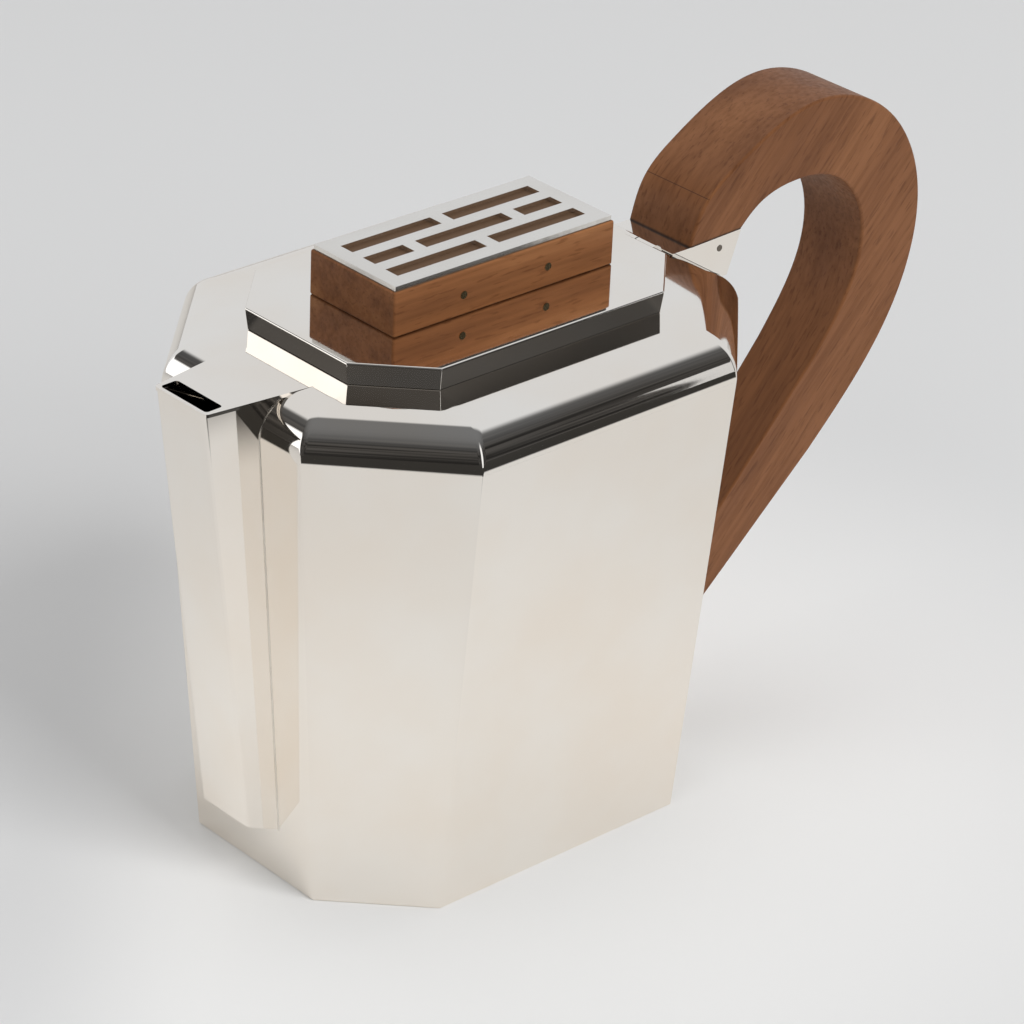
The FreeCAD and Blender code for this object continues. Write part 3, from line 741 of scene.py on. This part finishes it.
# Metals: brighter and darker tone, roughness off and on the hairlines, strength of their relief
METALS = {
    "polished_silver": ((0.96, 0.935, 0.9), (0.945, 0.895, 0.835), (0.035, 0.05), 0.0015),
    "satin_silver": ((0.88, 0.865, 0.84), (0.82, 0.795, 0.76), (0.17, 0.23), 0.006),
    "inner_silver": ((0.86, 0.83, 0.79), (0.74, 0.69, 0.62), (0.22, 0.32), 0.006),
    # silver_pins tones are painted shade: far darker than silver, for the shade in the pins' recesses
    "silver_pins": ((0.26, 0.235, 0.21), (0.16, 0.14, 0.12), (0.22, 0.36), 0.03),
    "brass_pins": ((0.72, 0.6, 0.38), (0.5, 0.4, 0.22), (0.18, 0.32), 0.1),
}
HAIRLINE_SCALE = 900.0
HAIRLINE_STRETCH = (1.0, 1.0, 0.02)
HAIRLINE_DETAIL = 2.0
HAIRLINE_RELIEF = 0.02 * MM
CLOUD_SCALE = 30.0
CLOUD_DETAIL = 4.0
CLOUD_STOPS = (0.38, 0.66)

# Woods: turn of the grain in degrees, dark, middle and light tone, painted shade of faces that look straight
# up
WOODS = {
    "handle_wood": (48.0, (0.175, 0.067, 0.025), (0.215, 0.085, 0.032), (0.255, 0.105, 0.041), None),
    # The knob's last tone is painted shade for its top, which lies in shade under the pierced plate
    "knob_wood": (
        0.0, (0.175, 0.066, 0.024), (0.275, 0.109, 0.039), (0.38, 0.165, 0.063), (0.14, 0.08, 0.045)),
}
FIBRE_SCALE = 620.0
FIBRE_STOPS = ((0.36, (0.88, 0.86, 0.84)), (0.6, (1.05, 1.04, 1.02)))
PORE_STOPS = ((0.31, (0.76, 0.72, 0.68)), (0.4, (1.0, 1.0, 1.0)))
BAND_STOPS = (0.34, 0.5, 0.66)
TOP_FACES = (0.9, 0.99)
WOOD_ROUGHNESS = (0.58, 0.42)
WOOD_SHINE = 0.3
WOOD_RELIEF = 0.1 * MM
WOOD_RELIEF_STRENGTH = 0.25

# Layers of the grain: stretch along it, share of the fibre scale, detail
GRAIN_LAYERS = {"Bands": (0.10, 0.12, 3.0), "Fibres": (0.06, 1.5, 3.0), "Pores": (0.14, 2.4, 1.0)}

# Dark lines on the handle: painted shadow along its joint with the wedge, and a hairline seam across its
# front. Each has a way, the places along it, and the places along +X where the line ends
SEAT_WAY = (-0.034, 0.0, 0.9994)
SEAT_LINE = (120.55 * MM, 119.95 * MM)
SEAT_BELOW = (117.0 * MM, 118.0 * MM)
SEAT_END = (80.0 * MM, 77.0 * MM)
SEAM_WAY = (0.342, 0.0, 0.94)
SEAM_PLACE = 146.8 * MM
SEAM_WIDTH = 0.15 * MM
SEAM_END = (65.2 * MM, 64.5 * MM)
# Dark of the painted shadow in the joint, and of the seam itself
SEAT_SHADOW_AND_SEAM_DARK = (0.045, 0.022, 0.012)


def wear_group():
    """Fine handling marks: hairlines from noise stretched along one way, and cloudy patches."""
    group, given, result = effect_group(
        "handling_wear", [("Hairline Scale", HAIRLINE_SCALE), ("Cloud Scale", CLOUD_SCALE)],
        ["Hairlines", "Clouds"])
    place = given.outputs["Vector"]
    lines = noise(
        group, stretched(group, place, HAIRLINE_STRETCH), given.outputs["Hairline Scale"], HAIRLINE_DETAIL)
    clouds = noise(group, place, given.outputs["Cloud Scale"], CLOUD_DETAIL)
    group.links.new(lines, result.inputs["Hairlines"])
    group.links.new(clouds, result.inputs["Clouds"])
    return group


def grain_group():
    """Straight wood grain: broad bands, fine fibres and short dark pores, stretched along X of the vector."""
    group, given, result = effect_group("wood_grain", [("Fibre Scale", FIBRE_SCALE)], list(GRAIN_LAYERS))
    for label, (stretch, share, detail) in GRAIN_LAYERS.items():
        place = stretched(group, given.outputs["Vector"], (stretch, 1.0, 1.0))
        scale = product(group, given.outputs["Fibre Scale"], share)
        group.links.new(noise(group, place, scale, detail), result.inputs[label])
    return group


def metal(name, wear, bright, toned, roughness, relief):
    """Metal with cloudy tone between two colours, uneven polish and faint hairlines."""
    made, tree, shader, place = new_material(name)
    marks = add_node(tree, "ShaderNodeGroup", node_tree=wear)
    tree.links.new(place, marks.inputs["Vector"])
    tone = ramp(tree, marks.outputs["Clouds"], list(zip(CLOUD_STOPS, (bright, toned))))
    tree.links.new(tone, shader.inputs["Base Color"])
    tree.links.new(spread(tree, marks.outputs["Hairlines"], *roughness), shader.inputs["Roughness"])
    add_relief(tree, shader, marks.outputs["Hairlines"], relief, HAIRLINE_RELIEF)
    shader.inputs["Metallic"].default_value = 1.0
    return made


def wood(name, grain, turn, dark, middle, light, painted_top_shade):
    """Oiled wood: colour from broad bands, darkened along fibres and pores, with the grain in relief. Faces
    that look straight up may get painted shade."""
    made, tree, shader, place = new_material(name)
    turned = add_node(tree, "ShaderNodeMapping")
    turned.inputs["Rotation"].default_value = (0.0, math.radians(turn), 0.0)
    tree.links.new(place, turned.inputs["Vector"])
    fibre = add_node(tree, "ShaderNodeGroup", node_tree=grain)
    tree.links.new(turned.outputs[0], fibre.inputs["Vector"])
    colour = ramp(tree, fibre.outputs["Bands"], list(zip(BAND_STOPS, (dark, middle, light))))
    for label, stops in (("Fibres", FIBRE_STOPS), ("Pores", PORE_STOPS)):
        colour = mixed_colour(tree, 1.0, colour, ramp(tree, fibre.outputs[label], stops), "MULTIPLY")
    # Painted shade on faces that look straight up
    if painted_top_shade:
        normal = add_node(tree, "ShaderNodeNewGeometry").outputs["Normal"]
        colour = mixed_colour(tree, step_along(tree, normal, UP, TOP_FACES), colour, painted_top_shade)
    tree.links.new(colour, shader.inputs["Base Color"])
    tree.links.new(spread(tree, fibre.outputs["Fibres"], *WOOD_ROUGHNESS), shader.inputs["Roughness"])
    shader.inputs["Specular IOR Level"].default_value = WOOD_SHINE
    add_relief(tree, shader, fibre.outputs["Fibres"], WOOD_RELIEF_STRENGTH, WOOD_RELIEF)
    return made


def shade_and_mark_handle(made):
    """Paints shadow on the wood along its joint with the wedge, and darkens a hairline seam across its front.
    """
    tree = made.node_tree
    colour_in = tree.nodes["Principled BSDF"].inputs["Base Color"]
    place = add_node(tree, "ShaderNodeTexCoord").outputs["Object"]
    # Painted shadow where the wood sits on the wedge
    joint = product(
        tree, step_along(tree, place, SEAT_WAY, SEAT_LINE), step_along(tree, place, SEAT_WAY, SEAT_BELOW),
        step_along(tree, place, BACK, SEAT_END))
    seam = product(
        tree, step_along(tree, place, SEAM_WAY, (SEAM_PLACE - SEAM_WIDTH, SEAM_PLACE)),
        step_along(tree, place, SEAM_WAY, (SEAM_PLACE + SEAM_WIDTH, SEAM_PLACE)),
        step_along(tree, place, BACK, SEAM_END))
    # Painted shadow and the seam's own dark line, in one mask
    marks = combined(tree, "MAXIMUM", joint, seam)
    shaded_and_marked = mixed_colour(tree, marks, colour_in.links[0].from_socket, SEAT_SHADOW_AND_SEAM_DARK)
    tree.links.new(shaded_and_marked, colour_in)


def make_materials():
    """Every finish of the pot, by name. All but satin_silver are slots in the record."""
    wear = wear_group()
    grain = grain_group()
    made = {name: metal(name, wear, *look) for name, look in METALS.items()}
    made.update({name: wood(name, grain, *look) for name, look in WOODS.items()})
    shade_and_mark_handle(made["handle_wood"])
    return made


def dress_cad_nodes(materials):
    """Gives every CAD node the finish of its slot in the record. The knob's plate is less polished."""
    finish_of = {entry["node"]: entry["material_slot"] for entry in frame["record"]["subparts"]}
    for name, node in frame["nodes"].items():
        node.data.materials.clear()
        finish = "satin_silver" if name == "knob_plate" else finish_of[name]
        node.data.materials.append(materials[finish])


# Floor, light and camera, in metres

# Floor. A way is a level direction, and the pair after it gives the places where a tone starts and is full.
# FLOOR_FADE counts from the middle
FLOOR_RADII = (0.02, 0.4, 1.0, 2.0)
FLOOR_SIDES = 64
FLOOR_NOISE_SCALE = 3.0
FLOOR_NOISE_DETAIL = 2.0
FLOOR_UNEVEN = (-0.02, 0.02)
FLOOR_ROUGHNESS = 0.75
# Painted light: the floor is brighter near the pot, for light the silver throws back onto it, with an edge
# made uneven by FLOOR_UNEVEN
FLOOR_FADE = (0.07, 0.22)
FLOOR_NEAR = (1.0, 0.998, 0.99)
FLOOR_FAR = (0.79, 0.793, 0.796)
# Painted shadow of the pot on the floor to the back left; the metal does not see it
LEFT_WAY = (-0.733, 0.681, 0.0)
LEFT_SHADE = (0.045, 0.095)
BACK_WAY = (0.681, 0.733, 0.0)
BACK_SHADE_END = (0.3, 0.1)
FLOOR_LEFT = (0.79, 0.792, 0.795)
# Painted shade: the floor grows darker far in front, where the lamps' light falls off
FRONT_WAY = (0.124, -0.992, 0.0)
FRONT_FADE = (0.5, 1.7)
FLOOR_FRONT_END = (0.55, 0.552, 0.555)
FLOOR_WARMTH = (0.965, 0.94, 0.903)
PAPER_EDGE_WAY = (-0.247, -0.969, 0.0)
PAPER_EDGE = (0.19, 0.225)
ROOM_FLOOR = (0.038, 0.036, 0.033)

# Studio. A way is a direction, and a pair gives the places along it where a part of the studio fades in.
# Tops are heights, and the card's side lies along +X
BACKDROP = (0.70, 0.705, 0.71)
BACKDROP_LEFT_WAY = (0.914, 0.407, 0.0)
BACKDROP_LEFT = (0.0, 0.12)
BACKDROP_RIGHT_WAY = (0.469, 0.883, 0.0)
BACKDROP_RIGHT = (-0.05, 0.14)
LOW_CARD = (1.25, 1.25, 1.25)
LOW_CARD_WAY = (0.3, 0.95, -0.6)
LOW_CARD_EDGE = (0.02, 0.1)
LOW_CARD_SIDE = (-0.2, -0.45)
LOW_CARD_TOP = (0.45, 0.39)
FRONT_STRIP = (1.0, 1.0, 1.0)
FRONT_STRIP_LEFT_WAY = (0.97, -0.242, 0.0)
FRONT_STRIP_RIGHT_WAY = (-0.9945, -0.1045, 0.0)
FRONT_STRIP_SIDE = (0.0, 0.06)
FRONT_STRIP_TOP = (0.85, 0.6)
ROOM_DARK = (0.018, 0.017, 0.016)
ROOM_LOW = (0.075, 0.071, 0.067)
ROOM_HIGH = (0.17, 0.172, 0.175)
ROOM_NOISE_SCALE = 9.0
ROOM_NOISE_DETAIL = 4.0
ROOM_PATCHES = (0.35, 0.65)
ROOM_UPPER = (0.35, 1.0)
AMBIENT = (0.32, 0.32, 0.32)
PAPER = (0.76, 0.765, 0.77)

# Lamps: name, place, the point it looks at, size, power in watts, whether it shows in the metal
LAMPS = (
    ("front_lamp", (0.3, -2.4, 2.0), (0, 0, 0.06), (1.8, 1.8), 52.0, False),
    ("left_lamp", (-1.15, -0.4, 0.9), (0, 0, 0.06), (1.0, 1.0), 2.8, False),
    ("right_lamp", (1.15, -0.4, 1.0), (0, 0, 0.06), (1.4, 1.4), 2.0, False),
    ("top_lamp", (0.2, 0.6, 1.7), (0.1, 0.2, 0), (1.6, 1.6), 7.0, False),
    ("low_lamp", (0.73, -0.683, 0.14), (0, 0, 0.14), (0.27, 0.44), 0.22, True),
)

# Camera: azimuth, elevation and roll in degrees, and the aim's shift to the right and up from a height
CAMERA_ANGLES = (-42.89, 27.95, 2.56)
CAMERA_DISTANCE = 0.9357
AIM_HEIGHT = 0.072
AIM_SHIFT = (0.01355, -0.00085)
LENS = 148.1
SENSOR_WIDTH = 36.0


def floor_material():
    """Pale floor: painted light near the pot and darker far off, with painted shadow to the back left and
    painted shade far in front. In the metal it is warmer, and ends in front of the pot, where the room's
    own floor is dark."""
    made, tree, shader, place = new_material("pale_floor")
    distance = add_node(tree, "ShaderNodeVectorMath", operation="LENGTH")
    tree.links.new(place, distance.inputs[0])
    patches = spread(tree, noise(tree, place, FLOOR_NOISE_SCALE, FLOOR_NOISE_DETAIL), *FLOOR_UNEVEN)
    uneven = combined(tree, "ADD", distance.outputs["Value"], patches)
    # Painted light near the pot
    tone = mixed_colour(tree, smooth_step(tree, uneven, *FLOOR_FADE), FLOOR_NEAR, FLOOR_FAR)
    mirrored = add_node(tree, "ShaderNodeLightPath").outputs["Is Glossy Ray"]
    # Painted shadow to the back left, not seen in the metal
    shade = product(
        tree, step_along(tree, place, LEFT_WAY, LEFT_SHADE),
        step_along(tree, place, BACK_WAY, BACK_SHADE_END), absent(tree, mirrored))
    tone = mixed_colour(tree, shade, tone, FLOOR_LEFT)
    # Painted shade far in front
    tone = mixed_colour(tree, step_along(tree, place, FRONT_WAY, FRONT_FADE), tone, FLOOR_FRONT_END)
    tone = mixed_colour(tree, mirrored, tone, FLOOR_WARMTH, "MULTIPLY")
    past_paper = product(tree, step_along(tree, place, PAPER_EDGE_WAY, PAPER_EDGE), mirrored)
    tone = mixed_colour(tree, past_paper, tone, ROOM_FLOOR)
    tree.links.new(tone, shader.inputs["Base Color"])
    shader.inputs["Roughness"].default_value = FLOOR_ROUGHNESS
    shader.inputs["Specular IOR Level"].default_value = 0.0
    return made


def make_floor():
    """Large pale floor, a disc of a few rings, level with the foot of the pot."""
    radius = np.array(FLOOR_RADII)[:, None]
    turn = np.linspace(0, 2 * math.pi, FLOOR_SIDES, endpoint=False)[None]
    x = radius * np.cos(turn)
    rings = np.stack((x, radius * np.sin(turn), np.zeros_like(x)), -1)
    faces = grid_faces(*x.shape).tolist() + [list(range(FLOOR_SIDES))]
    mesh = bpy.data.meshes.new("floor")
    mesh.from_pydata(rings.reshape(-1, 3).tolist(), [], faces)
    mesh.materials.append(floor_material())
    floor = add_object("floor", mesh)


def make_studio():
    """Studio round the pot. Metal sees a bright backdrop behind, a low white card to the left, a tall strip
    of light in front and a dark, uneven room elsewhere. All else is lit by an even sky, and the camera sees
    pale paper."""
    world = bpy.data.worlds.new("studio")
    bpy.context.scene.world = world
    world.use_nodes = True
    tree = world.node_tree
    way = add_node(tree, "ShaderNodeTexCoord").outputs["Generated"]
    backdrop = product(
        tree, step_along(tree, way, BACKDROP_LEFT_WAY, BACKDROP_LEFT),
        step_along(tree, way, BACKDROP_RIGHT_WAY, BACKDROP_RIGHT))
    card = product(
        tree, step_along(tree, way, LOW_CARD_WAY, LOW_CARD_EDGE), step_along(tree, way, BACK, LOW_CARD_SIDE),
        step_along(tree, way, UP, LOW_CARD_TOP))
    strip = product(
        tree, step_along(tree, way, FRONT_STRIP_LEFT_WAY, FRONT_STRIP_SIDE),
        step_along(tree, way, FRONT_STRIP_RIGHT_WAY, FRONT_STRIP_SIDE),
        step_along(tree, way, UP, FRONT_STRIP_TOP))
    patches = smooth_step(tree, noise(tree, way, ROOM_NOISE_SCALE, ROOM_NOISE_DETAIL), *ROOM_PATCHES)
    room = mixed_colour(tree, patches, ROOM_DARK, ROOM_LOW)
    room = mixed_colour(tree, step_along(tree, way, UP, ROOM_UPPER), room, ROOM_HIGH)
    for factor, tone in ((strip, FRONT_STRIP), (backdrop, BACKDROP), (card, LOW_CARD)):
        room = mixed_colour(tree, factor, room, tone)
    path = add_node(tree, "ShaderNodeLightPath").outputs
    mirrored = product(tree, path["Is Glossy Ray"], absent(tree, path["Diffuse Depth"]))
    lighting = mixed_colour(tree, mirrored, AMBIENT, room)
    seen = mixed_colour(tree, path["Is Camera Ray"], lighting, PAPER)
    tree.links.new(seen, tree.nodes["Background"].inputs["Color"])


def make_lamp(name, place, target, size, power, mirrored):
    """Soft oblong lamp that looks at a point, and that the camera never sees. A mirrored one shows in the
    metal and lights nothing else."""
    data = bpy.data.lights.new(name, "AREA")
    data.shape = "RECTANGLE"
    data.size, data.size_y = size
    data.energy = power
    lamp = add_object(name, data)
    lamp.location = place
    lamp.rotation_mode = "QUATERNION"
    lamp.rotation_quaternion = (Vector(target) - Vector(place)).to_track_quat("-Z", "Y")
    lamp.visible_camera = False
    lamp.visible_glossy = mirrored
    lamp.visible_diffuse = not mirrored


def make_camera():
    """Camera at the photograph's angle: azimuth, elevation and roll about the view, with no lens shift."""
    azimuth, elevation, roll = (math.radians(angle) for angle in CAMERA_ANGLES)
    level = math.cos(elevation)
    back = Vector((math.sin(azimuth) * level, -math.cos(azimuth) * level, math.sin(elevation)))
    right = (-back).cross(Vector(UP)).normalized()
    up = right.cross(-back)
    target = Vector((0, 0, AIM_HEIGHT)) + right * AIM_SHIFT[0] + up * AIM_SHIFT[1]
    across = right * math.cos(roll) + up * math.sin(roll)
    upward = up * math.cos(roll) - right * math.sin(roll)
    data = bpy.data.cameras.new("camera")
    data.lens = LENS
    data.sensor_width = SENSOR_WIDTH
    camera = add_object("camera", data)
    turned = Matrix((across, upward, back)).transposed().to_4x4()
    camera.matrix_world = Matrix.Translation(target + back * CAMERA_DISTANCE) @ turned
    bpy.context.scene.camera = camera


materials = make_materials()
dress_cad_nodes(materials)
make_wall(materials["polished_silver"])
make_shoulder(materials["polished_silver"])
make_spout(materials["polished_silver"])
make_spout_plate(materials["polished_silver"])
make_spout_seams(materials["inner_silver"])
make_lid(materials["polished_silver"])
make_knob(materials["knob_wood"])
make_handle(materials["handle_wood"])
make_wedge(materials["polished_silver"])
make_floor()
make_studio()
for lamp in LAMPS:
    make_lamp(*lamp)
make_camera()
bpy.context.scene.view_settings.view_transform = "Standard"
